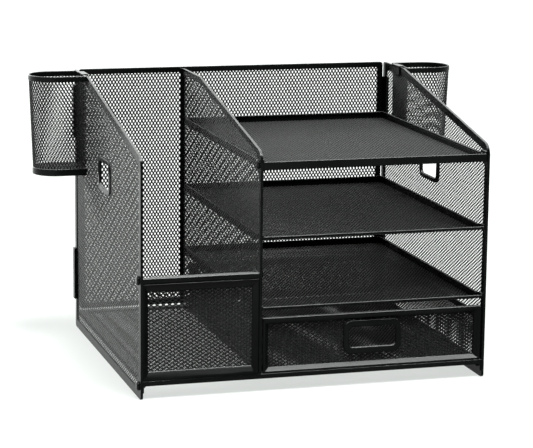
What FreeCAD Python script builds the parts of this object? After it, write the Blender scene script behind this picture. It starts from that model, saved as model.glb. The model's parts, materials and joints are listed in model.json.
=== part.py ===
import FreeCAD, Part
import math
import os

# Steel-mesh desk organizer: two side panels, a divider, a back panel, a base, three paper
# trays, a file holder front, a drawer and two hang-on pen cups.
# Millimetres. X runs across the front, Y from the front to the back, Z up.
# The origin is the bottom centre of the whole organizer's box.

# Side panels
span = 338.0                # across the outer faces of the two side panels
depth = 298.0               # front edge to rear edge of a side panel
height = 270.0              # desk to the top of a side panel
front_edge_height = 225.0   # desk to the corner where the sloping top edge starts
flat_top = 62.0             # length of the level top edge at the back
panel_thick = 2.4           # folded strip round each panel
rim_width = 7.5             # width of that strip
front_corner_radius = 12.0
small_radius = 3.0
mesh_thick = 0.8
pad_radius = 8.5            # solid pad around each screw

# Rear brackets that join the back panel to the side panels
bracket_out = 2.2           # how far a bracket stands out from a side panel
bracket_thick = 1.2
bracket_heights = ((30.0, 84.0), (200.0, 254.0))

# Carry slots in the side panels
slot_length = 43.0
slot_height = 25.0
slot_radius = 4.5
slot_rim = 4.5
slot_rim_thick = 3.0
slot_from_front = 156.0     # slot centre
slot_above_desk = 183.0

# Divider and back panel
divider_from_left = 114.2   # middle plane, from the left panel's outer face
divider_thick = 2.4
divider_rim = 5.5
divider_top = 268.5
divider_flat_top = 74.0
divider_front_height = 226.0
back_rim = 5.6
back_bottom = 18.5
back_gap = 1.5              # slit between the back panel and each side panel

# Base
base_bottom = 12.5
base_top = 17.0
base_flange = 8.0
sheet = 1.2                 # thickness of folded sheet parts

# Trays
tray_tops = (217.0, 147.0, 80.5)
tray_wall = 7.5
hem_thick = 2.0
hem_height = 2.4
tray_ramp = 28.0            # the two lower trays rise to a low front lip over this length
ear_length = 15.0

# File holder front
rail_bottom = 108.0
rail_top = 114.0
front_panel_depth = 6.0

# Drawer
drawer_side_gap = 1.8
drawer_bottom = 17.4
drawer_front_bottom = 17.6
drawer_front_top = 70.0
drawer_wall_top = 63.0
drawer_length = 284.0
handle_length = 57.0
handle_height = 32.0
handle_hole_length = 47.0
handle_hole_height = 20.0
handle_above_desk = 46.2

# Pen cups
cup_width = 50.0
cup_reach = 55.0            # from the side panel's outer face to the far side of the cup
cup_taper = 3.5             # how much smaller the cup is at its bottom
cup_top = 270.8
cup_bottom = 170.5
cup_rim_height = 5.5
cup_foot_height = 7.0
cup_gap = 0.5               # between the cup's flat side and the side panel
cup_from_front = 256.0      # cup centre
hook_width = 22.0
hook_drop = 8.5

# Screws
head_radius = 4.5
head_height = 2.4
shank_radius = 1.9
nut_radius = 2.9
nut_height = 2.2
screw_in = 8.5              # from the front edge to the screw axis
tray_screw_height = 214.4
rail_screw_height = 111.0
base_screw_height = 11.8

front = -(depth + bracket_thick) / 2.0
rear = front + depth
left = -span / 2.0
right = span / 2.0
inner_left = left + panel_thick
inner_right = right - panel_thick
divider_x = left + divider_from_left
divider_left = divider_x - divider_thick / 2.0
divider_right = divider_x + divider_thick / 2.0
back_front = rear - panel_thick


def box(x0, x1, y0, y1, z0, z1):
    return Part.makeBox(x1 - x0, y1 - y0, z1 - z0, FreeCAD.Vector(x0, y0, z0))


def joined(shapes):
    shape = shapes[0]
    for other in shapes[1:]:
        shape = shape.fuse(other)
    return shape.removeSplitter()


def rounded_wire(points, radii, place):
    """A closed wire through 2-D points with a radius at each; place turns (a, b) into a vector."""
    starts = []
    ends = []
    middles = []
    count = len(points)
    for i in range(count):
        a0, b0 = points[i - 1]
        a1, b1 = points[i]
        a2, b2 = points[(i + 1) % count]
        back = (a0 - a1, b0 - b1)
        ahead = (a2 - a1, b2 - b1)
        back_len = math.hypot(*back)
        ahead_len = math.hypot(*ahead)
        back = (back[0] / back_len, back[1] / back_len)
        ahead = (ahead[0] / ahead_len, ahead[1] / ahead_len)
        half = math.acos(back[0] * ahead[0] + back[1] * ahead[1]) / 2.0
        cut = radii[i] / math.tan(half)
        starts.append((a1 + back[0] * cut, b1 + back[1] * cut))
        ends.append((a1 + ahead[0] * cut, b1 + ahead[1] * cut))
        inward = (back[0] + ahead[0], back[1] + ahead[1])
        size = math.hypot(*inward)
        reach = radii[i] / math.sin(half) - radii[i]
        middles.append((a1 + inward[0] / size * reach, b1 + inward[1] / size * reach))
    edges = []
    for i in range(count):
        if radii[i] > 0:
            edges.append(Part.Arc(place(*starts[i]), place(*middles[i]), place(*ends[i])).toShape())
        nxt = (i + 1) % count
        edges.append(Part.makeLine(place(*ends[i]), place(*starts[nxt])))
    return Part.Wire(edges)


def plate_yz(points, radii, x0, x1):
    wire = rounded_wire(points, radii, lambda y, z: FreeCAD.Vector(x0, y, z))
    return Part.Face(wire).extrude(FreeCAD.Vector(x1 - x0, 0, 0))


def plate_xz(points, radii, y0, y1):
    wire = rounded_wire(points, radii, lambda x, z: FreeCAD.Vector(x, y0, z))
    return Part.Face(wire).extrude(FreeCAD.Vector(0, y1 - y0, 0))


def rectangle(a0, a1, b0, b1):
    return [(a0, b0), (a1, b0), (a1, b1), (a0, b1)]


def inset(points, amount):
    """A convex anticlockwise outline moved inwards by the same amount on every side."""
    moved = []
    count = len(points)
    for i in range(count):
        a0, b0 = points[i - 1]
        a1, b1 = points[i]
        a2, b2 = points[(i + 1) % count]
        before = (a1 - a0, b1 - b0)
        after = (a2 - a1, b2 - b1)
        before_len = math.hypot(*before)
        after_len = math.hypot(*after)
        n0 = (-before[1] / before_len, before[0] / before_len)
        n1 = (-after[1] / after_len, after[0] / after_len)
        scale = amount / (1.0 + n0[0] * n1[0] + n0[1] * n1[1])
        moved.append((a1 + (n0[0] + n1[0]) * scale, b1 + (n0[1] + n1[1]) * scale))
    return moved


def cylinder_x(x0, x1, y, z, radius):
    start = FreeCAD.Vector(x0, y, z)
    return Part.makeCylinder(radius, x1 - x0, start, FreeCAD.Vector(1, 0, 0))


def slot_plate(x0, x1, grow):
    """The carry slot's outline grown by an amount, as a solid from x0 to x1."""
    y = front + slot_from_front
    half_y = slot_length / 2.0 + grow
    half_z = slot_height / 2.0 + grow
    points = rectangle(y - half_y, y + half_y, slot_above_desk - half_z, slot_above_desk + half_z)
    return plate_yz(points, [slot_radius + grow] * 4, x0, x1)


def upright(outline, radii, rim, x0, x1, screws):
    """A framed upright panel: its solid rim with screw pads, and the mesh sheet inside it."""
    inner = inset(outline, rim)
    inner_radii = [max(radius - rim, 2.0) for radius in radii]
    whole = plate_yz(outline, radii, x0, x1)
    window = plate_yz(inner, inner_radii, x0, x1)
    for y, z in screws:
        window = window.cut(cylinder_x(x0, x1, y, z, pad_radius))
    frame = whole.cut(window)
    for y, z in screws:
        frame = frame.cut(cylinder_x(x0, x1, y, z, shank_radius))
    middle = (x0 + x1) / 2.0
    sheet_box = box(middle - mesh_thick / 2.0, middle + mesh_thick / 2.0, front, rear, 0, height)
    return frame, window.common(sheet_box)


def side_panel(x0, x1, screws):
    outline = [
        (front, 0),
        (rear, 0),
        (rear, height),
        (rear - flat_top, height),
        (front, front_edge_height),
    ]
    radii = [small_radius, small_radius, small_radius, front_corner_radius, front_corner_radius]
    frame, mesh = upright(outline, radii, rim_width, x0, x1, screws)
    mesh = mesh.cut(slot_plate(x0, x1, slot_rim))
    middle = (x0 + x1) / 2.0
    low = middle - slot_rim_thick / 2.0
    high = middle + slot_rim_thick / 2.0
    handle = slot_plate(low, high, slot_rim).cut(slot_plate(low, high, 0))
    return frame, mesh, handle


def dished_frame(x0, x1, z0, z1, window):
    """A front frame whose four mitred sides slope back to its window."""
    y0 = front + 1.0
    y1 = y0 + front_panel_depth
    lip = 1.4
    wx0, wx1, wz0, wz1 = window
    outer = rounded_wire(
        rectangle(x0 + lip, x1 - lip, z0 + lip, z1 - lip), [0] * 4, lambda x, z: FreeCAD.Vector(x, y0, z)
    )
    inner = rounded_wire(
        rectangle(wx0, wx1, wz0, wz1), [0] * 4, lambda x, z: FreeCAD.Vector(x, y1 - 1.8, z)
    )
    dish = Part.makeLoft([outer, inner], True, True)
    hole = box(wx0, wx1, y1 - 1.8, y1, wz0, wz1)
    return box(x0, x1, y0, y1, z0, z1).cut(dish).cut(hole)


def window_mesh(window):
    y = front + 1.0 + front_panel_depth - 0.9
    return box(window[0], window[1], y - mesh_thick / 2.0, y + mesh_thick / 2.0, window[2], window[3])


def tray(top, lipped):
    """A paper tray: its folded walls with a rolled top edge, and its mesh floor."""
    x0 = divider_right
    x1 = inner_right
    y0 = front + 1.0
    y1 = back_front - sheet
    low = top - tray_wall
    y_ear = y0 + ear_length
    ear_top = top + 2.5 if lipped else top + 1.5
    y_ramp = y0 + tray_ramp
    if lipped:
        profile = [(y0, low), (y1, low), (y1, top), (y_ear, top), (y_ear, ear_top), (y0, ear_top)]
        front_low = low
    else:
        front_low = top - hem_height
        profile = [
            (y0, front_low),
            (y_ramp, low),
            (y1, low),
            (y1, top),
            (y_ear, top),
            (y_ear - 6.0, ear_top),
            (y0, ear_top),
        ]
    walls = [
        plate_yz(profile, [0] * len(profile), x0, x0 + sheet),
        plate_yz(profile, [0] * len(profile), x1 - sheet, x1),
        box(x0, x1, y1 - sheet, y1, low, top),
        box(x0, x1, y0, y0 + sheet, front_low, top),
        box(x0, x0 + hem_thick, y_ear, y1, top - hem_height, top),
        box(x1 - hem_thick, x1, y_ear, y1, top - hem_height, top),
        box(x0, x1, y1 - hem_thick, y1, top - hem_height, top),
        box(x0, x1, y0, y0 + hem_thick, top - hem_height, top),
    ]
    frame = joined(walls)
    floor_x0 = x0 + sheet
    floor_x1 = x1 - sheet
    if lipped:
        for x in (x0, x1 - sheet):
            frame = frame.cut(cylinder_x(x, x + sheet, front + screw_in, tray_screw_height, shank_radius))
        floor = box(floor_x0, floor_x1, y0 + sheet, y1 - sheet, low, low + mesh_thick)
    else:
        rise = top - hem_height - mesh_thick
        profile = [
            (y0 + sheet, rise),
            (y_ramp, low),
            (y1 - sheet, low),
            (y1 - sheet, low + mesh_thick),
            (y_ramp, low + mesh_thick),
            (y0 + sheet, rise + mesh_thick),
        ]
        floor = plate_yz(profile, [0] * 6, floor_x0, floor_x1)
    return frame, floor.cut(frame)


def screw_and_nut(x_face, outward, y, z):
    """A domed screw whose head sits on a face, and its nut; outward is 1 or -1 along X."""
    grip = panel_thick + sheet
    head = cylinder_x(0, head_height, 0, 0, head_radius)
    rim_edges = [e for e in head.Edges if abs(e.CenterOfMass.x - head_height) < 0.01]
    head = head.makeFillet(1.9, rim_edges)
    shank = cylinder_x(-grip - nut_height - 0.8, 0, 0, 0, shank_radius)
    corners = []
    for i in range(7):
        angle = math.radians(60 * i)
        corners.append(
            FreeCAD.Vector(-grip - nut_height, nut_radius * math.cos(angle), nut_radius * math.sin(angle))
        )
    blank = Part.Face(Part.makePolygon(corners)).extrude(FreeCAD.Vector(nut_height, 0, 0))
    shapes = [joined([head, shank]), blank.cut(shank)]
    for shape in shapes:
        if outward < 0:
            shape.rotate(FreeCAD.Vector(0, 0, 0), FreeCAD.Vector(0, 0, 1), 180)
        shape.translate(FreeCAD.Vector(x_face, y, z))
    return shapes


def cup_wire(side, shrink, z, taper=0.0):
    """The cup's outline at a height: flat against the panel, straight sides and a round nose."""
    flat = side * (span / 2.0 + cup_gap + shrink)
    half = cup_width / 2.0 - shrink - taper / 2.0
    nose = side * (span / 2.0 + cup_reach - shrink - taper)
    centre = nose - side * half
    y = front + cup_from_front
    corners = [
        FreeCAD.Vector(flat, y - half, z),
        FreeCAD.Vector(centre, y - half, z),
        FreeCAD.Vector(centre, y + half, z),
        FreeCAD.Vector(flat, y + half, z),
    ]
    return Part.Wire([
        Part.makeLine(corners[0], corners[1]),
        Part.Arc(corners[1], FreeCAD.Vector(nose, y, z), corners[2]).toShape(),
        Part.makeLine(corners[2], corners[3]),
        Part.makeLine(corners[3], corners[0]),
    ])


def cup_band(side, shrink, thick, z0, z1, taper):
    up = FreeCAD.Vector(0, 0, z1 - z0)
    outer = Part.Face(cup_wire(side, shrink, z0, taper)).extrude(up)
    inner = Part.Face(cup_wire(side, shrink + thick, z0, taper)).extrude(up)
    return outer.cut(inner)


def pen_cup(side):
    low = cup_bottom + cup_foot_height
    high = cup_top - cup_rim_height
    inset_by = 0.6
    outer = Part.makeLoft(
        [cup_wire(side, inset_by, low, cup_taper), cup_wire(side, inset_by, high)], True, True
    )
    thick = inset_by + mesh_thick
    inner = Part.makeLoft([cup_wire(side, thick, low, cup_taper), cup_wire(side, thick, high)], True, True)
    floor = Part.Face(cup_wire(side, 1.8, low - 1.6, cup_taper)).extrude(FreeCAD.Vector(0, 0, 1.6))
    y = front + cup_from_front
    y0 = y - hook_width / 2.0
    y1 = y + hook_width / 2.0
    inside = span / 2.0 - panel_thick - 0.4
    outside = span / 2.0 + cup_gap
    hook_top = cup_top + 0.6
    hook_under = height + 0.4
    legs = []
    for near, far, z0 in (
        (inside, outside, hook_under),
        (inside - 1.0, inside, height - hook_drop),
        (outside, outside + 1.8, cup_top),
    ):
        legs.append(box(min(side * near, side * far), max(side * near, side * far), y0, y1, z0, hook_top))
    return {
        "wall": outer.cut(inner),
        "top_rim": cup_band(side, 0.0, 1.8, high, cup_top, 0.0),
        "foot_rim": cup_band(side, 0.0, 1.8, cup_bottom, low, cup_taper),
        "floor": floor,
        "hook": joined(legs),
    }


parts = {}

# Side panels
y_screw = front + screw_in
left_screws = [(y_screw, rail_screw_height), (y_screw, base_screw_height)]
right_screws = [(y_screw, tray_screw_height), (y_screw, base_screw_height)]
sides = (("left", left, inner_left, left_screws), ("right", inner_right, right, right_screws))
for name, x0, x1, screws in sides:
    frame, mesh, handle = side_panel(x0, x1, screws)
    parts[name + "_panel_frame"] = frame
    parts[name + "_panel_mesh"] = mesh
    parts[name + "_handle_rim"] = handle

# Divider, with a narrow flange against the back panel
divider_outline = [
    (front + 0.5, base_top),
    (back_front, base_top),
    (back_front, divider_top),
    (rear - divider_flat_top, divider_top),
    (front + 0.5, divider_front_height),
]
divider_radii = [1.0, 0, 0, front_corner_radius, front_corner_radius]
divider_screws = [(y_screw, tray_screw_height), (y_screw, rail_screw_height)]
frame, mesh = upright(
    divider_outline, divider_radii, divider_rim, divider_left, divider_right, divider_screws
)
flange = box(divider_x - 2.8, divider_x + 2.8, back_front - sheet, back_front, base_top + 2.0, divider_top)
parts["divider_frame"] = joined([frame, flange])
parts["divider_mesh"] = mesh

# Back panel
back_x0 = inner_left + back_gap
back_x1 = inner_right - back_gap
back_outline = rectangle(back_x0, back_x1, back_bottom, height)
back_window = inset(back_outline, back_rim)
back_plate = plate_xz(back_outline, [small_radius] * 4, back_front, rear)
back_hole = plate_xz(back_window, [2.0] * 4, back_front, rear)
parts["back_frame"] = back_plate.cut(back_hole)
back_middle = (back_front + rear) / 2.0
parts["back_mesh"] = plate_xz(
    back_window, [2.0] * 4, back_middle - mesh_thick / 2.0, back_middle + mesh_thick / 2.0
)

# Rear brackets, two on each side
brackets = []
for side in (-1, 1):
    for z0, z1 in bracket_heights:
        face = side * span / 2.0
        out = face + side * bracket_out
        inward = face - side * 9.0
        leg = box(min(face, out), max(face, out), rear - 6.0, rear + bracket_thick, z0, z1)
        strap = box(min(face, inward), max(face, inward), rear, rear + bracket_thick, z0, z1)
        brackets.append(joined([leg, strap]))
parts["rear_brackets"] = Part.makeCompound(brackets)

# Base: a shallow tray turned upside down, with an ear for a screw at each front corner
base_y0 = front + 1.0
base_y1 = back_front
shell = box(inner_left, inner_right, base_y0, base_y1, base_bottom, base_top)
under = box(
    inner_left + sheet, inner_right - sheet, base_y0 + sheet, base_y1 - sheet, base_bottom, base_top - 1.0
)
window = box(
    inner_left + base_flange,
    inner_right - base_flange,
    base_y0 + base_flange,
    base_y1 - base_flange,
    base_bottom,
    base_top,
)
ears = [
    box(inner_left, inner_left + sheet, base_y0, base_y0 + ear_length, 6.0, base_top),
    box(inner_right - sheet, inner_right, base_y0, base_y0 + ear_length, 6.0, base_top),
]
base = joined([shell.cut(under).cut(window)] + ears)
for x in (inner_left, inner_right - sheet):
    base = base.cut(cylinder_x(x, x + sheet, y_screw, base_screw_height, shank_radius))
parts["base_frame"] = base
parts["base_mesh"] = box(
    inner_left + sheet,
    inner_right - sheet,
    base_y0 + sheet,
    base_y1 - sheet,
    base_top - 1.0 - mesh_thick,
    base_top - 1.0,
)

# Trays
for name, top, lipped in zip(("top", "middle", "lower"), tray_tops, (True, False, False)):
    frame, floor = tray(top, lipped)
    parts[name + "_tray_frame"] = frame
    parts[name + "_tray_mesh"] = floor

# File holder front: a rail with an ear for a screw at each end, above a framed mesh
rail = box(inner_left, divider_left, front + 0.6, front + 9.0, rail_bottom, rail_top)
long_edges = [e for e in rail.Edges if abs(e.BoundBox.XLength - (divider_left - inner_left)) < 0.01]
rail = rail.makeFillet(2.2, long_edges)
for x0, x1 in ((inner_left, inner_left + 8.0), (divider_left - 8.0, divider_left)):
    rail = rail.cut(box(x0, x1, front + 5.0, front + 9.0, rail_bottom, rail_top))
for x in (inner_left, divider_left - sheet):
    rail = joined([rail, box(x, x + sheet, front + 3.0, front + ear_length, rail_bottom, rail_top)])
    rail = rail.cut(cylinder_x(x, x + sheet, y_screw, rail_screw_height, shank_radius))
parts["file_front_rail"] = rail
file_window = (inner_left + 6.0, divider_left - 6.0, base_top + 8.0, rail_bottom - 8.0)
parts["file_front_frame"] = dished_frame(
    inner_left, divider_left, base_top, rail_bottom, file_window
)
parts["file_front_mesh"] = window_mesh(file_window)

# Drawer
drawer_x0 = divider_right + drawer_side_gap
drawer_x1 = inner_right - drawer_side_gap
drawer_middle = (drawer_x0 + drawer_x1) / 2.0
drawer_window = (drawer_x0 + 6.0, drawer_x1 - 6.0, drawer_front_bottom + 4.5, drawer_front_top - 7.0)
parts["drawer_front_frame"] = dished_frame(
    drawer_x0, drawer_x1, drawer_front_bottom, drawer_front_top, drawer_window
)
handle_outline = rectangle(
    drawer_middle - handle_length / 2.0,
    drawer_middle + handle_length / 2.0,
    handle_above_desk - handle_height / 2.0,
    handle_above_desk + handle_height / 2.0,
)
hole_outline = rectangle(
    drawer_middle - handle_hole_length / 2.0,
    drawer_middle + handle_hole_length / 2.0,
    handle_above_desk - handle_hole_height / 2.0,
    handle_above_desk + handle_hole_height / 2.0,
)
handle_y0 = front + 3.2
handle_y1 = front + 1.0 + front_panel_depth
handle_solid = plate_xz(handle_outline, [8.0] * 4, handle_y0, handle_y1)
parts["drawer_front_mesh"] = window_mesh(drawer_window).cut(handle_solid)
parts["drawer_handle"] = handle_solid.cut(plate_xz(hole_outline, [4.0] * 4, handle_y0, handle_y1))

body_x0 = drawer_x0 + 1.5
body_x1 = drawer_x1 - 1.5
body_y0 = front + 1.0 + front_panel_depth
body_y1 = front + drawer_length
mesh_top = drawer_wall_top - 5.0
parts["drawer_floor_mesh"] = box(
    body_x0, body_x1, body_y0, body_y1, drawer_bottom, drawer_bottom + mesh_thick
)
wall_low = drawer_bottom + mesh_thick
parts["drawer_left_mesh"] = box(body_x0, body_x0 + mesh_thick, body_y0, body_y1, wall_low, mesh_top)
parts["drawer_right_mesh"] = box(body_x1 - mesh_thick, body_x1, body_y0, body_y1, wall_low, mesh_top)
parts["drawer_back_mesh"] = box(
    body_x0 + mesh_thick, body_x1 - mesh_thick, body_y1 - mesh_thick, body_y1, wall_low, mesh_top
)
parts["drawer_rim"] = joined([
    box(body_x0 - 0.6, body_x0 + 1.4, body_y0, body_y1 + 0.6, mesh_top, drawer_wall_top),
    box(body_x1 - 1.4, body_x1 + 0.6, body_y0, body_y1 + 0.6, mesh_top, drawer_wall_top),
    box(body_x0, body_x1, body_y1 - 1.4, body_y1 + 0.6, mesh_top, drawer_wall_top),
])

# Pen cups
for name, side in (("left", -1), ("right", 1)):
    for piece, shape in pen_cup(side).items():
        parts[name + "_cup_" + piece] = shape

# Screws and nuts
screw_places = [
    (left, -1, rail_screw_height),
    (divider_right, 1, rail_screw_height),
    (left, -1, base_screw_height),
    (right, 1, base_screw_height),
    (divider_left, -1, tray_screw_height),
    (right, 1, tray_screw_height),
]
screws = []
nuts = []
for x_face, outward, z in screw_places:
    screw, nut = screw_and_nut(x_face, outward, y_screw, z)
    screws.append(screw)
    nuts.append(nut)
parts["screws"] = Part.makeCompound(screws)
parts["nuts"] = Part.makeCompound(nuts)

os.makedirs("parts", exist_ok=True)
for name, shape in parts.items():
    shape.exportStep("parts/" + name + ".step")
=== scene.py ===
import json
import math

import bpy
import numpy as np
from mathutils import Matrix, Vector
from mathutils.bvhtree import BVHTree


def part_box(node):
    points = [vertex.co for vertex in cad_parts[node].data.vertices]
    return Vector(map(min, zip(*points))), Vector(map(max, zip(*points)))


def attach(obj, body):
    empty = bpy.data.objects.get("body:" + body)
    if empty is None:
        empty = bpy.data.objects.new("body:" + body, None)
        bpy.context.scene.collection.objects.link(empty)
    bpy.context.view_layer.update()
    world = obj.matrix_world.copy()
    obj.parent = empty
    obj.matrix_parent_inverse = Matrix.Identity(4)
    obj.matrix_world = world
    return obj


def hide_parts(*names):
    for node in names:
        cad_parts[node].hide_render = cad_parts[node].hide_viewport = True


# Looks of the steel-mesh desk organizer. Metres, in the CAD's frame.
# The CAD's strips, rails, tray walls and screws stay, with softened edges and a coated-steel material.
# Each mesh sheet, which is a plain sheet in the CAD, is replaced by expanded metal with real strands and holes.

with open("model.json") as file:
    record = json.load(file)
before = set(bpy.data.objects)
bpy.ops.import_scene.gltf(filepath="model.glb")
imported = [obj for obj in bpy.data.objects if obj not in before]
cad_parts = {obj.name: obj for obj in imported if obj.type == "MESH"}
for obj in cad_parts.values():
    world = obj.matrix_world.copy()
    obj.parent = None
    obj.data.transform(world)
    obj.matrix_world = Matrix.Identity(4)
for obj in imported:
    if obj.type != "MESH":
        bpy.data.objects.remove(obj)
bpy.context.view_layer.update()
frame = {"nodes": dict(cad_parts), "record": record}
nodes = frame["nodes"]
bodies = frame["record"]["behaviour"]["bodies"]
body_of = {name: body for body, names in bodies.items() for name in names}
MM = 0.001
X, Y, Z = 0, 1, 2

# Expanded metal
SHORT_PITCH = 3.5 * MM      # one hole to the next along the holes' short way
LONG_PITCH = 5.9 * MM       # one hole to the next along the holes' long way
BOND = 0.68 * MM            # half width of a bond, where four strands meet
STRAND = 0.58 * MM          # half width of a strand
RIDGE = 0.24 * MM           # half thickness of a strand at its ridge
LEAN = 0.50 * MM            # how far the strands' edges stand off the middle of the sheet
EDGE = 1.5 * MM             # how far a sheet runs on under the frame round it
LEAST_FLAT = 0.12 * MM      # half the shortest straight side of a hole, beside a bond
OUTSIDE = 2                 # half cells looked at beyond a sheet that its frame trims

# Keys that number the bonds of a sheet: column times KEY_STRIDE plus row, both shifted to stay positive
KEY_STRIDE = 100000
KEY_SHIFT = 4

# Tray floors and cup walls
TRAY_SHEET = 0.8 * MM       # thickness of a tray floor in the CAD
TRAY_RAMP = 28.0 * MM       # from a tray's front edge back to where its floor is level
CUP_INSET = 1.0 * MM        # from a rim band's outside to the middle of a cup's wall
CUP_OVERLAP = 1.5 * MM      # how far a cup's wall reaches into each band
CUP_CORNER = 2.2 * MM       # radius between a cup's flat side and its straight sides
CUP_SAMPLES = 400           # points round a cup

# Stage
TINT = (0.965, 1.0, 0.975, 1.0)     # the studio's faintly green white
FLOOR_SIZE = 40.0
FLOOR_GREY = 0.10
FLOOR_GLOW = 0.66                   # glow of the floor under and right of the object
REFLECTOR_GLOW = 1.9                # glow of the floor on the left
REFLECTOR_FROM = -0.22              # X where the floor starts to get brighter
REFLECTOR_FULL = -0.60              # X where it is brightest


# ---------------------------------------------------------------- materials

def ramp(tree, source, stops):
    """A colour ramp with two stops, each a place and a grey value or an RGB colour."""
    made = tree.nodes.new("ShaderNodeValToRGB")
    tree.links.new(source, made.inputs["Fac"])
    for element, (place, value) in zip(made.color_ramp.elements, stops):
        element.position = place
        element.color = (*value, 1.0) if isinstance(value, tuple) else (value, value, value, 1.0)
    return made.outputs["Color"]


def noise(tree, place, scale, detail, roughness):
    made = tree.nodes.new("ShaderNodeTexNoise")
    made.inputs["Scale"].default_value = scale
    made.inputs["Detail"].default_value = detail
    made.inputs["Roughness"].default_value = roughness
    tree.links.new(place.outputs["Object"], made.inputs["Vector"])
    return made.outputs["Fac"]


def map_range(tree, source, from_range, to_range, smooth=True):
    made = tree.nodes.new("ShaderNodeMapRange")
    made.interpolation_type = "SMOOTHSTEP" if smooth else "LINEAR"
    made.inputs["From Min"].default_value, made.inputs["From Max"].default_value = from_range
    made.inputs["To Min"].default_value, made.inputs["To Max"].default_value = to_range
    tree.links.new(source, made.inputs["Value"])
    return made.outputs["Result"]


def colour_mix(tree, blend, factor, first, second):
    """Two colours mixed. factor is a number or an output."""
    made = tree.nodes.new("ShaderNodeMix")
    made.data_type = "RGBA"
    made.blend_type = blend
    if isinstance(factor, float):
        made.inputs[0].default_value = factor
    else:
        tree.links.new(factor, made.inputs[0])
    tree.links.new(first, made.inputs[6])
    tree.links.new(second, made.inputs[7])
    return made.outputs[2]


def coated_steel(name, dark, light, rough, grain, grain_height, specular, top_sheen):
    """Black powder coat on steel: fine orange peel, faint cloudiness between the colours dark and light, and a
    roughness that follows the peel. grain is the peel's noise scale. Faces that look up are painted paler
    toward a pale albedo, a painted sheen that stands in for the light from above."""
    made = bpy.data.materials.new(name)
    made.use_nodes = True
    tree = made.node_tree
    tree.nodes.clear()
    out = tree.nodes.new("ShaderNodeOutputMaterial")
    shader = tree.nodes.new("ShaderNodeBsdfPrincipled")
    tree.links.new(shader.outputs["BSDF"], out.inputs["Surface"])
    place = tree.nodes.new("ShaderNodeTexCoord")
    cloud = noise(tree, place, 18.0, 4.0, 0.55)
    peel = noise(tree, place, grain, 3.0, 0.6)
    clouded = ramp(tree, cloud, ((0.35, dark), (0.68, light)))
    pits = ramp(tree, peel, ((0.42, 0.72), (0.62, 1.0)))
    coat = colour_mix(tree, "MULTIPLY", 0.7, clouded, pits)
    geometry = tree.nodes.new("ShaderNodeNewGeometry")
    facing = tree.nodes.new("ShaderNodeSeparateXYZ")
    tree.links.new(geometry.outputs["Normal"], facing.inputs[0])
    # Painted sheen: faces that look up are made paler, standing in for the light that falls on them from above
    upward = map_range(tree, facing.outputs["Z"], (0.45, 0.95), (0.0, 1.0))
    painted_sheen = ramp(tree, peel, ((0.35, top_sheen * 0.8), (0.65, top_sheen * 1.2)))
    tree.links.new(colour_mix(tree, "MIX", upward, coat, painted_sheen), shader.inputs["Base Color"])
    tree.links.new(ramp(tree, peel, ((0.3, rough[0]), (0.75, rough[1]))), shader.inputs["Roughness"])
    bump = tree.nodes.new("ShaderNodeBump")
    bump.inputs["Strength"].default_value = 0.35
    bump.inputs["Distance"].default_value = grain_height
    tree.links.new(peel, bump.inputs["Height"])
    tree.links.new(bump.outputs["Normal"], shader.inputs["Normal"])
    shader.inputs["Specular IOR Level"].default_value = specular
    return made


# The last value given to each coat is the albedo of its painted sheen on faces that look up
strip_black = coated_steel(
    "coated strip", dark=(0.0010, 0.0012, 0.0012), light=(0.0024, 0.0027, 0.0027), rough=(0.16, 0.28),
    grain=1500.0, grain_height=0.03 * MM, specular=0.05, top_sheen=0.06,
)
mesh_black = coated_steel(
    "coated mesh", dark=(0.0016, 0.0018, 0.0018), light=(0.0052, 0.0058, 0.0056), rough=(0.28, 0.44),
    grain=1800.0, grain_height=0.03 * MM, specular=0.12, top_sheen=0.018,
)
screw_black = coated_steel(
    "fasteners", dark=(0.0012, 0.0013, 0.0013), light=(0.0026, 0.0028, 0.0028), rough=(0.06, 0.12),
    grain=2200.0, grain_height=0.004 * MM, specular=0.09, top_sheen=0.012,
)
floor_black = coated_steel(
    "cup floor", dark=(0.0020, 0.0022, 0.0022), light=(0.0040, 0.0043, 0.0043), rough=(0.50, 0.65),
    grain=1500.0, grain_height=0.05 * MM, specular=0.08, top_sheen=0.004,
)


# ---------------------------------------------------------------- expanded metal

def fitted(length, pitch):
    """The nearest pitch that goes into a length a whole number of times, and that number."""
    count = max(2, round(length / pitch))
    return length / count, count


def grid_of_holes(columns, rows, wraps, clean_edges):
    """Holes of a staggered grid in half cells. They sit where i + j is odd, and bonds where it is even.
    Without clean edges the grid runs on past the sheet."""
    beyond = 0 if clean_edges else OUTSIDE
    last_column = 2 * columns - 1 if wraps else 2 * columns
    i, j = np.meshgrid(
        np.arange(-beyond, last_column + beyond + 1), np.arange(-beyond, 2 * rows + beyond + 1)
    )
    odd = (i + j) % 2 == 1
    return np.stack([i[odd], j[odd]], 1)


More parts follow.
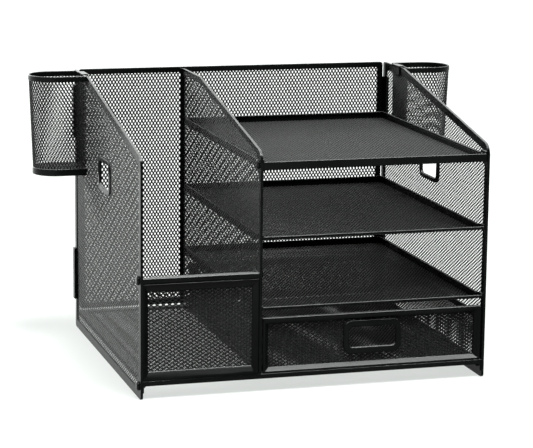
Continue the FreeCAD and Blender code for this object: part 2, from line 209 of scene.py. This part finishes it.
def expanded_metal(
    name, u_range, v_range, place, keep=None, wraps=False, flip=False, scale=1.0, lean=LEAN, weight=1.0,
    bond_share=1.0,
):
    """A sheet of expanded metal. u is the holes' short way and v their long way. place(u, v, n) gives points,
    n being the height off the sheet. Without keep, the sheet ends cleanly on bonds at its four edges. With
    keep(u, v), only those holes are made, and a frame covers the ragged edge. wraps closes it along u, and
    flip turns its faces over. scale multiplies the pitches. A positive lean lifts the edge of each strand that
    has the larger u. weight widens strands and bonds, and bond_share the bonds alone."""
    u0, u1 = u_range
    v0, v1 = v_range
    pitch_u, columns = fitted(u1 - u0, SHORT_PITCH * scale)
    pitch_v, rows = fitted(v1 - v0, LONG_PITCH * scale)
    a, b = pitch_u / 2.0, pitch_v / 2.0
    clean = keep is None
    holes = grid_of_holes(columns, rows, wraps, clean)
    if not clean:
        holes = holes[keep(u0 + holes[:, 0] * a, v0 + holes[:, 1] * b)]
    # The hole's outline: a point at each end of the long way and a short flat at each bond beside it.
    # Each point has its u, its v and the share of the lean that lifts it.
    slant = math.hypot(a, b) * STRAND * weight / (a * b)
    side = a - BOND * weight * bond_share
    flat = max(b * (1.0 - slant - side / a), LEAST_FLAT)
    end = b * (1.0 - slant)
    outline = [
        (0, end, 0), (side, flat, -1), (side, 0, -1), (side, -flat, -1),
        (0, -end, 0), (-side, -flat, 1), (-side, 0, 1), (-side, flat, 1),
    ]
    count = len(holes)
    rim_u = np.stack([u0 + holes[:, 0] * a + p[0] for p in outline], 1)
    rim_v = np.stack([v0 + holes[:, 1] * b + p[1] for p in outline], 1)
    rim_n = np.stack([np.full(count, lean * p[2]) for p in outline], 1)
    # Bonds round each hole: above, right, below, left
    around = []
    for di, dj in ((0, 1), (1, 0), (0, -1), (-1, 0)):
        i = holes[:, 0] + di
        if wraps:
            i = i % (2 * columns)
        around.append((i + KEY_SHIFT) * KEY_STRIDE + holes[:, 1] + dj + KEY_SHIFT)
    keys, index = np.unique(np.stack(around, 1), return_inverse=True)
    index = index.reshape(count, 4)
    bond_u = u0 + (keys // KEY_STRIDE - KEY_SHIFT) * a
    bond_v = v0 + (keys % KEY_STRIDE - KEY_SHIFT) * b
    front = len(outline) * count
    back = front + len(keys)
    points = place(
        np.concatenate([rim_u.ravel(), bond_u, bond_u]),
        np.concatenate([rim_v.ravel(), bond_v, bond_v]),
        np.concatenate([rim_n.ravel(), np.full(len(keys), RIDGE), np.full(len(keys), -RIDGE)]),
    )
    rims = len(outline) * np.arange(count)
    # Each quarter of a hole: its two rim points and two bonds. Each side of it: rim points and one bond.
    quarters = [(0, 1, 1, 0), (3, 4, 2, 1), (4, 5, 3, 2), (7, 0, 0, 3)]
    i, j = holes[:, 0], holes[:, 1]
    at_left = (i == 0) & (clean and not wraps)
    at_right = (i == 2 * columns) & (clean and not wraps)
    at_low = (j == 0) & clean
    at_top = (j == 2 * rows) & clean
    quarter_in = [~(at_right | at_top), ~(at_right | at_low), ~(at_left | at_low), ~(at_left | at_top)]
    polygons = []
    for (p, q, first, second), use in zip(quarters, quarter_in):
        r, f = rims[use], index[use]
        polygons.append(np.stack([r + p, r + q, front + f[:, first], front + f[:, second]], 1))
        polygons.append(np.stack([back + f[:, second], back + f[:, first], r + q, r + p], 1))
    triangles = []
    edge_v = at_low | at_top
    sides = [
        (1, 3, 1, ~at_right & ~edge_v), (5, 7, 3, ~at_left & ~edge_v),
        (1, 2, 1, at_low), (6, 7, 3, at_low), (2, 3, 1, at_top), (5, 6, 3, at_top),
    ]
    for p, q, bond, use in sides:
        r, f = rims[use], index[use]
        triangles.append(np.stack([r + p, r + q, front + f[:, bond]], 1))
        triangles.append(np.stack([back + f[:, bond], r + q, r + p], 1))
    # Ends of the holes that an edge cuts in half: rim point, bond, which holes, and the way the face turns
    caps = [
        (0, 0, at_left, 1), (4, 2, at_left, -1), (0, 0, at_right, -1), (4, 2, at_right, 1),
        (2, 1, at_low, -1), (6, 3, at_low, 1), (2, 1, at_top, 1), (6, 3, at_top, -1),
    ]
    for p, bond, use, way in caps:
        r, f = rims[use], index[use]
        near, far = (front, back) if way > 0 else (back, front)
        triangles.append(np.stack([r + p, near + f[:, bond], far + f[:, bond]], 1))
    if not clean:
        polygons.append(closing_walls(index, front, back))
    quads = np.concatenate(polygons)
    tris = np.concatenate(triangles)
    if flip:
        quads = quads[:, ::-1]
        tris = tris[:, ::-1]
    return mesh_from(name, points, quads, tris)


def closing_walls(index, front, back):
    """A wall along each ridge that only one hole uses, at the ragged edge of a sheet."""
    pairs = np.concatenate([index[:, [0, 3]], index[:, [3, 2]], index[:, [2, 1]], index[:, [1, 0]]])
    ordered = np.sort(pairs, axis=1)
    _, where, times = np.unique(ordered, axis=0, return_index=True, return_counts=True)
    p, q = pairs[where[times == 1]].T
    return np.stack([front + q, front + p, back + p, back + q], 1)


def mesh_from(name, points, quads, tris):
    """A flat-shaded mesh of four-sided and three-sided faces, without the points that none of them uses."""
    used = np.unique(np.concatenate([quads.ravel(), tris.ravel()]))
    new_index = np.full(len(points), -1)
    new_index[used] = np.arange(len(used))
    quads, tris = new_index[quads], new_index[tris]
    corners = np.concatenate([quads.ravel(), tris.ravel()]).astype(np.int32)
    starts = np.concatenate([4 * np.arange(len(quads)), 4 * len(quads) + 3 * np.arange(len(tris))])
    made = bpy.data.meshes.new(name)
    made.vertices.add(len(used))
    made.vertices.foreach_set("co", points[used].astype(np.float32).ravel())
    made.loops.add(len(corners))
    made.loops.foreach_set("vertex_index", corners)
    made.polygons.add(len(starts))
    made.polygons.foreach_set("loop_start", starts.astype(np.int32))
    made.update(calc_edges=True)
    made.validate()
    made.shade_flat()
    return made


def add_lattice(node, mesh):
    """A mesh of expanded metal that takes the place of a CAD node, on that node's body."""
    made = bpy.data.objects.new(node + "_lattice", mesh)
    bpy.context.scene.collection.objects.link(made)
    made.data.materials.append(mesh_black)
    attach(made, body_of[node])
    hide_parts(node)


def inside_test(node, normal_axis, u_axis, v_axis):
    """A test of whether a point, or one EDGE away from it, lies on a flat CAD sheet."""
    data = nodes[node].data
    tree = BVHTree.FromPolygons([v.co[:] for v in data.vertices], [p.vertices[:] for p in data.polygons])
    # Each ray starts 10 mm before the sheet and ends well past it
    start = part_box(node)[0][normal_axis] - 10.0 * MM
    reach = 30.0 * MM
    direction = Vector([1.0 if k == normal_axis else 0.0 for k in range(3)])
    angles = [k * math.pi / 4.0 for k in range(8)]
    steps = [(0.0, 0.0)] + [(EDGE * math.cos(angle), EDGE * math.sin(angle)) for angle in angles]

    def keep(us, vs):
        found = np.zeros(len(us), bool)
        origin = [0.0, 0.0, 0.0]
        origin[normal_axis] = start
        for k in range(len(us)):
            for du, dv in steps:
                origin[u_axis] = us[k] + du
                origin[v_axis] = vs[k] + dv
                if tree.ray_cast(Vector(origin), direction, reach)[0] is not None:
                    found[k] = True
                    break
        return found

    return keep


def flat_sheet(node, normal_axis, u_axis, v_axis, clean_edges, **options):
    """Expanded metal in place of a flat CAD sheet, with expanded_metal's options."""
    low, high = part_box(node)
    middle = (low[normal_axis] + high[normal_axis]) / 2.0

    def place(u, v, n):
        points = np.empty((len(u), 3))
        points[:, u_axis] = u
        points[:, v_axis] = v
        points[:, normal_axis] = middle + n
        return points

    right_handed = (u_axis, v_axis, normal_axis) in ((X, Y, Z), (Y, Z, X), (Z, X, Y))
    add_lattice(node, expanded_metal(
        node + "_lattice", (low[u_axis], high[u_axis]), (low[v_axis], high[v_axis]), place,
        keep=None if clean_edges else inside_test(node, normal_axis, u_axis, v_axis), flip=not right_handed,
        **options,
    ))


for node in ("left_panel_mesh", "right_panel_mesh", "divider_mesh"):
    flat_sheet(node, X, Z, Y, False, lean=-LEAN, weight=1.07)
flat_sheet("back_mesh", Y, X, Z, False, weight=1.22, bond_share=1.3)
flat_sheet("base_mesh", Z, X, Y, True, scale=1.04)
flat_sheet("top_tray_mesh", Z, X, Y, True)
for node in ("file_front_mesh", "drawer_front_mesh"):
    flat_sheet(node, Y, Z, X, False)
flat_sheet("drawer_floor_mesh", Z, X, Y, True)
flat_sheet("drawer_back_mesh", Y, Z, X, True)
for node in ("drawer_left_mesh", "drawer_right_mesh"):
    flat_sheet(node, X, Z, Y, True)


def ramped_sheet(node):
    """A tray floor that is level and then rises to the front lip."""
    low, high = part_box(node)
    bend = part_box(node.replace("mesh", "frame"))[0].y + TRAY_RAMP
    level = low.z + TRAY_SHEET / 2.0
    rise = high.z - TRAY_SHEET / 2.0 - level

    def place(u, v, n):
        share = np.clip((bend - v) / (bend - low.y), 0.0, None)
        return np.stack([u, v, level + rise * share + n], 1)

    add_lattice(node, expanded_metal(node + "_lattice", (low.x, high.x), (low.y, high.y), place))


for node in ("middle_tray_mesh", "lower_tray_mesh"):
    ramped_sheet(node)


def cup_path(side, half, flat_x, nose_x):
    """CUP_SAMPLES points at equal steps round a cup's outline, seen from above, and the outline's length.
    It runs along the flat side, round a corner, along a straight, round the nose and back. side is 1 on the
    right of the object and -1 on its left."""
    nose_centre = nose_x - side * half
    straight_start = flat_x + side * CUP_CORNER
    points = [(flat_x, t) for t in np.linspace(-half + CUP_CORNER, half - CUP_CORNER, 20)]
    corner_angles = [k / 8.0 * math.pi / 2.0 for k in range(1, 8)]
    for angle in corner_angles:
        points.append((
            flat_x + side * CUP_CORNER * (1 - math.cos(angle)),
            half - CUP_CORNER + CUP_CORNER * math.sin(angle),
        ))
    points += [(t, half) for t in np.linspace(straight_start, nose_centre, 20)]
    for k in range(1, 60):
        angle = math.pi / 2.0 - k / 60.0 * math.pi
        points.append((nose_centre + side * half * math.cos(angle), half * math.sin(angle)))
    points += [(t, -half) for t in np.linspace(nose_centre, straight_start, 20)]
    for angle in corner_angles:
        points.append((
            flat_x + side * CUP_CORNER * (1 - math.sin(angle)),
            -half + CUP_CORNER - CUP_CORNER * math.cos(angle),
        ))
    closed = np.array(points + points[:1])
    steps = np.hypot(*np.diff(closed, axis=0).T)
    along = np.concatenate([[0], np.cumsum(steps)])
    at = np.linspace(0, along[-1], CUP_SAMPLES, endpoint=False)
    return np.stack([np.interp(at, along, closed[:, 0]), np.interp(at, along, closed[:, 1])], 1), along[-1]


def cup_wall(side_name, side):
    """Expanded metal round a cup, between the outlines inside its rim band and its foot band."""
    node = side_name + "_cup_wall"
    rim_low, rim_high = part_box(side_name + "_cup_top_rim")
    foot_low, foot_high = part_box(side_name + "_cup_foot_rim")
    middle_y = (rim_low.y + rim_high.y) / 2.0
    near, top_far, foot_far = (
        (rim_low.x, rim_high.x, foot_high.x) if side > 0 else (rim_high.x, rim_low.x, foot_low.x)
    )
    flat_x = near + side * CUP_INSET
    top_half = (rim_high.y - rim_low.y) / 2.0 - CUP_INSET
    foot_half = (foot_high.y - foot_low.y) / 2.0 - CUP_INSET
    top_path, around = cup_path(side, top_half, flat_x, top_far - side * CUP_INSET)
    foot_path, _ = cup_path(side, foot_half, flat_x, foot_far - side * CUP_INSET)
    z0 = foot_high.z - CUP_OVERLAP
    z1 = rim_low.z + CUP_OVERLAP

    def place(u, v, n):
        at = (u / around % 1.0) * CUP_SAMPLES
        first = np.floor(at).astype(int) % CUP_SAMPLES
        second = (first + 1) % CUP_SAMPLES
        part = (at - np.floor(at))[:, None]
        share = ((v - z0) / (z1 - z0))[:, None]
        top = top_path[first] * (1 - part) + top_path[second] * part
        foot = foot_path[first] * (1 - part) + foot_path[second] * part
        ahead = top_path[second] - top_path[first]
        ahead = ahead / np.linalg.norm(ahead, axis=1)[:, None]
        outward = np.stack([-ahead[:, 1], ahead[:, 0]], 1)
        outline = foot * (1 - share) + top * share + outward * n[:, None]
        return np.stack([outline[:, 0], outline[:, 1] + middle_y, v], 1)

    add_lattice(node, expanded_metal(
        node + "_lattice", (0.0, around), (z0, z1), place, wraps=True, flip=True, scale=0.97, weight=0.8
    ))


cup_wall("left", -1)
cup_wall("right", 1)


# ---------------------------------------------------------------- carried-over CAD nodes

def soften(made, width, material):
    """Soft edges and a coated-steel material on a CAD node."""
    made.data.materials.clear()
    made.data.materials.append(material)
    weld = made.modifiers.new("weld", "WELD")
    weld.merge_threshold = 0.005 * MM
    bevel = made.modifiers.new("soft edges", "BEVEL")
    bevel.width = width
    bevel.segments = 3
    bevel.limit_method = "ANGLE"
    bevel.angle_limit = math.radians(35.0)
    bevel.harden_normals = False
    normals = made.modifiers.new("normals", "WEIGHTED_NORMAL")
    normals.keep_sharp = False


# Bevel widths in millimetres, and the nodes whose material isn't the strips'
OTHER_WIDTH = 0.35
soft_width = {
    "screws": 0.1, "nuts": 0.25, "drawer_front_frame": 0.5, "file_front_frame": 0.5, "file_front_rail": 0.45,
    "drawer_handle": 0.7, "divider_frame": 0.9, "back_frame": 0.8,
}
own_material = {"screws": screw_black, "nuts": screw_black}
for tray in ("top", "middle", "lower"):
    soft_width[tray + "_tray_frame"] = 0.9
for side_name in ("left", "right"):
    soft_width[side_name + "_panel_frame"] = 0.9
    for part in ("_handle_rim", "_cup_top_rim", "_cup_foot_rim"):
        soft_width[side_name + part] = 0.8
    own_material[side_name + "_cup_floor"] = floor_black
for name, made in nodes.items():
    if not made.hide_render:
        soften(made, soft_width.get(name, OTHER_WIDTH) * MM, own_material.get(name, strip_black))


# ---------------------------------------------------------------- stage

def stage_floor():
    """A pale floor that glows more to the left, as if a reflector lay there."""
    mesh = bpy.data.meshes.new("floor")
    s = FLOOR_SIZE / 2.0
    mesh.from_pydata([(-s, -s, 0.0), (s, -s, 0.0), (s, s, 0.0), (-s, s, 0.0)], [], [(0, 1, 2, 3)])
    made = bpy.data.objects.new("floor", mesh)
    bpy.context.scene.collection.objects.link(made)
    material = bpy.data.materials.new("floor")
    material.use_nodes = True
    tree = material.node_tree
    shader = tree.nodes["Principled BSDF"]
    shader.inputs["Base Color"].default_value = (FLOOR_GREY, FLOOR_GREY, FLOOR_GREY, 1.0)
    shader.inputs["Roughness"].default_value = 0.9
    shader.inputs["Specular IOR Level"].default_value = 0.1
    shader.inputs["Emission Color"].default_value = TINT
    place = tree.nodes.new("ShaderNodeTexCoord")
    parts = tree.nodes.new("ShaderNodeSeparateXYZ")
    tree.links.new(place.outputs["Object"], parts.inputs[0])
    glow = map_range(
        tree, parts.outputs["X"], (REFLECTOR_FROM, REFLECTOR_FULL), (FLOOR_GLOW, REFLECTOR_GLOW)
    )
    tree.links.new(glow, shader.inputs["Emission Strength"])
    mesh.materials.append(material)


stage_floor()

world = bpy.data.worlds.new("studio")
world.use_nodes = True
tree = world.node_tree
background = tree.nodes["Background"]
background.inputs["Color"].default_value = TINT
sky = tree.nodes.new("ShaderNodeTexCoord")


def glow_toward(direction, edge, core, low, high, smooth=True):
    """Light of the sky by the cosine of the angle from a direction, from low at edge to high at core."""
    toward = tree.nodes.new("ShaderNodeVectorMath")
    toward.operation = "DOT_PRODUCT"
    toward.inputs[1].default_value = Vector(direction).normalized()
    tree.links.new(sky.outputs["Generated"], toward.inputs[0])
    return map_range(tree, toward.outputs["Value"], (edge, core), (low, high), smooth)


def add_up(first, second):
    total = tree.nodes.new("ShaderNodeMath")
    total.operation = "ADD"
    tree.links.new(first, total.inputs[0])
    tree.links.new(second, total.inputs[1])
    return total.outputs["Value"]


# Bright behind, above and to the left, and dim in front
light = glow_toward((-0.55, 0.75, 0.55), -0.60, 0.85, 0.03, 1.3, smooth=False)
# A broad softbox low in the sky behind and to the left, and a small strong one almost overhead
light = add_up(light, glow_toward((-0.58, 0.80, 0.16), 0.62, 0.97, 0.0, 7.0))
light = add_up(light, glow_toward((0.15, -0.27, 0.95), 0.968, 0.992, 0.0, 100.0))
tree.links.new(light, background.inputs["Strength"])
bpy.context.scene.world = world


def soft_light(name, place, size, power):
    """A square area light aimed at the lower middle of the object."""
    data = bpy.data.lights.new(name, "AREA")
    data.shape = "RECTANGLE"
    data.size = data.size_y = size
    data.energy = power
    made = bpy.data.objects.new(name, data)
    bpy.context.scene.collection.objects.link(made)
    made.location = place
    made.rotation_mode = "QUATERNION"
    made.rotation_quaternion = (Vector((0.0, 0.0, 0.1)) - Vector(place)).to_track_quat("-Z", "Y")


soft_light("key", (-1.2, -1.0, 1.6), size=1.0, power=14.0)
soft_light("top", (0.2, 0.2, 1.8), size=1.4, power=10.0)

bpy.context.scene.view_settings.view_transform = "Standard"


# ---------------------------------------------------------------- camera

def look(place, yaw, pitch, roll, lens):
    """A camera turned yaw from +Y toward +X, pitched down, and rolled, in degrees."""
    yaw, pitch, roll = (math.radians(a) for a in (yaw, pitch, roll))
    forward = Vector((math.sin(yaw) * math.cos(pitch), math.cos(yaw) * math.cos(pitch), -math.sin(pitch)))
    right = Vector((math.cos(yaw), -math.sin(yaw), 0.0))
    up = right.cross(forward)
    image_right = math.cos(roll) * right + math.sin(roll) * up
    image_up = -math.sin(roll) * right + math.cos(roll) * up
    data = bpy.data.cameras.new("camera")
    data.sensor_width = 36.0
    data.lens = lens
    data.clip_start, data.clip_end = 0.05, 100.0
    made = bpy.data.objects.new("camera", data)
    bpy.context.scene.collection.objects.link(made)
    turn = Matrix((image_right, image_up, -forward)).transposed()
    made.matrix_world = Matrix.Translation(place) @ turn.to_4x4()
    return made


bpy.context.scene.camera = look(
    Vector((-0.6011, -2.0018, 0.5369)), yaw=16.562, pitch=11.047, roll=0.609, lens=144.72
)
